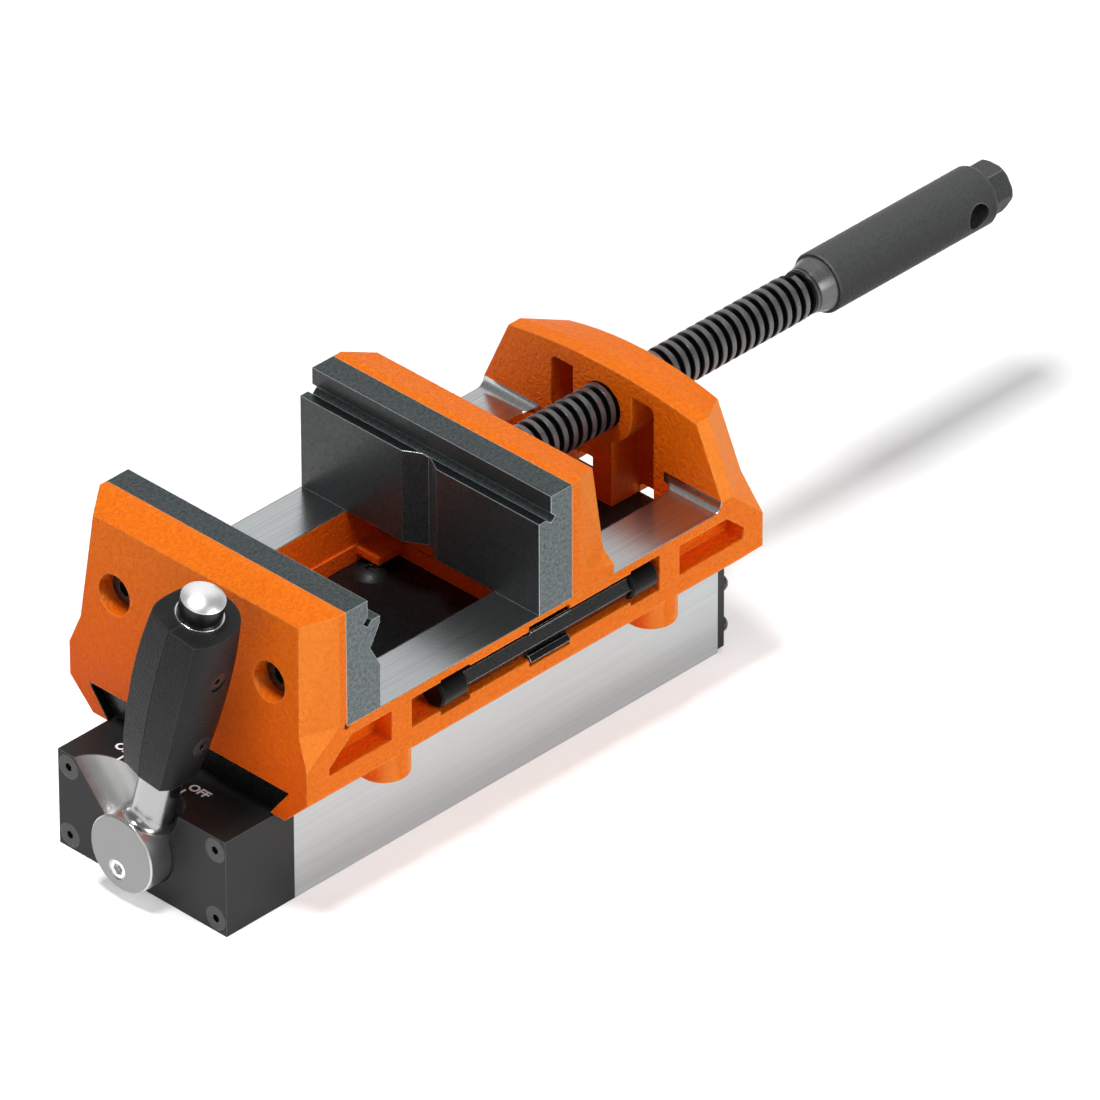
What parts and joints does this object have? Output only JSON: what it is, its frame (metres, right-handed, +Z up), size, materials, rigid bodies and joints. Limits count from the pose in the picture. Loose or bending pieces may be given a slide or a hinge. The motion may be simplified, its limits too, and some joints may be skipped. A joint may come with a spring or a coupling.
{
  "type": "magnetic drill press vise",
  "caption": "Cast drill vise with a sliding jaw and a screw spindle, dovetailed onto a switchable magnetic base with a swinging ON-OFF lever",
  "frame": {"origin": "centre of the magnet's bottom face, halfway along the end block and poles", "axes": "+X from the switching lever to the spindle handle, +Y to the side away from the tommy bar, +Z up"},
  "size_m": [0.4547, 0.1218, 0.1422],
  "materials": {
    "orange_paint": "orange paint over cast iron with a fine cast texture",
    "phosphated_steel": "dark grey mottled phosphate on ground steel",
    "black_anodised": "matte black coating on steel",
    "black_oxide_steel": "black oxide, slightly oily",
    "black_coating": "matte black coating",
    "brushed_steel": "ground steel, brushed along its length",
    "bright_steel": "bright machined steel",
    "magnet_nickel": "nickel plate",
    "satin_chrome": "satin chrome",
    "grip_plastic": "black moulded plastic with a fine grain",
    "cap_plastic": "black moulded plastic",
    "brass": "machined brass"
  },
  "bodies": {
    "base": {"pole_left": "brushed_steel", "pole_right": "brushed_steel", "pole_spacers": "brass", "end_block": "black_anodised", "end_block_screws": "black_oxide_steel", "front_bush": "brass", "rear_bush": "brass", "rear_cover": "black_anodised", "rear_cover_screws": "black_oxide_steel", "dovetail_plate": "black_oxide_steel", "dovetail_screws": "black_oxide_steel", "vise_body": "orange_paint", "fixed_jaw_plate": "phosphated_steel", "fixed_jaw_screws": "black_oxide_steel", "bar_clip": "black_oxide_steel", "clip_screw": "black_oxide_steel"},
    "lever": {"magnet_rotor": "bright_steel", "rotor_magnets": "magnet_nickel", "lever_arm": "satin_chrome", "hub_screw": "bright_steel", "grip_left": "grip_plastic", "grip_right": "grip_plastic", "grip_screws": "black_oxide_steel", "button_collar": "satin_chrome", "lock_spring": "bright_steel"},
    "lock_button": {"lock_button": "satin_chrome", "push_rod": "bright_steel"},
    "moving_jaw": {"moving_jaw": "orange_paint", "moving_jaw_plate": "phosphated_steel", "moving_jaw_screws": "black_oxide_steel", "spindle_retainer_pins": "bright_steel"},
    "spindle": {"spindle": "black_oxide_steel", "spindle_sleeve": "black_coating"},
    "tommy_bar": {"tommy_bar": "black_oxide_steel", "bar_caps": "cap_plastic"}
  },
  "joints": [
    {"name": "lever_swing", "type": "hinge", "parent": "base", "child": "lever", "pos_m": [0, 0, 0.02025], "axis": [1, 0, 0], "range_deg": [-56, 0]},
    {"name": "button_press", "type": "slide", "parent": "lever", "child": "lock_button", "axis": [0, 0.2588, -0.9659], "range_m": [0, 0.004], "stiffness_N_per_m": 800},
    {"name": "jaw_slide", "type": "slide", "parent": "base", "child": "moving_jaw", "axis": [1, 0, 0], "range_m": [-0.0794, 0.035]},
    {"name": "spindle_turn", "type": "hinge", "parent": "moving_jaw", "child": "spindle", "pos_m": [0.05, 0, 0.0962], "axis": [1, 0, 0], "range_deg": [-5930, 2620]},
    {"name": "bar_pull", "type": "slide", "parent": "base", "child": "tommy_bar", "axis": [0, -1, 0], "range_m": [0, 0.03]}
  ],
  "couplings": [
    {"joint": "spindle_turn", "follows": "jaw_slide", "rad_per_m": 1300.9}
  ]
}
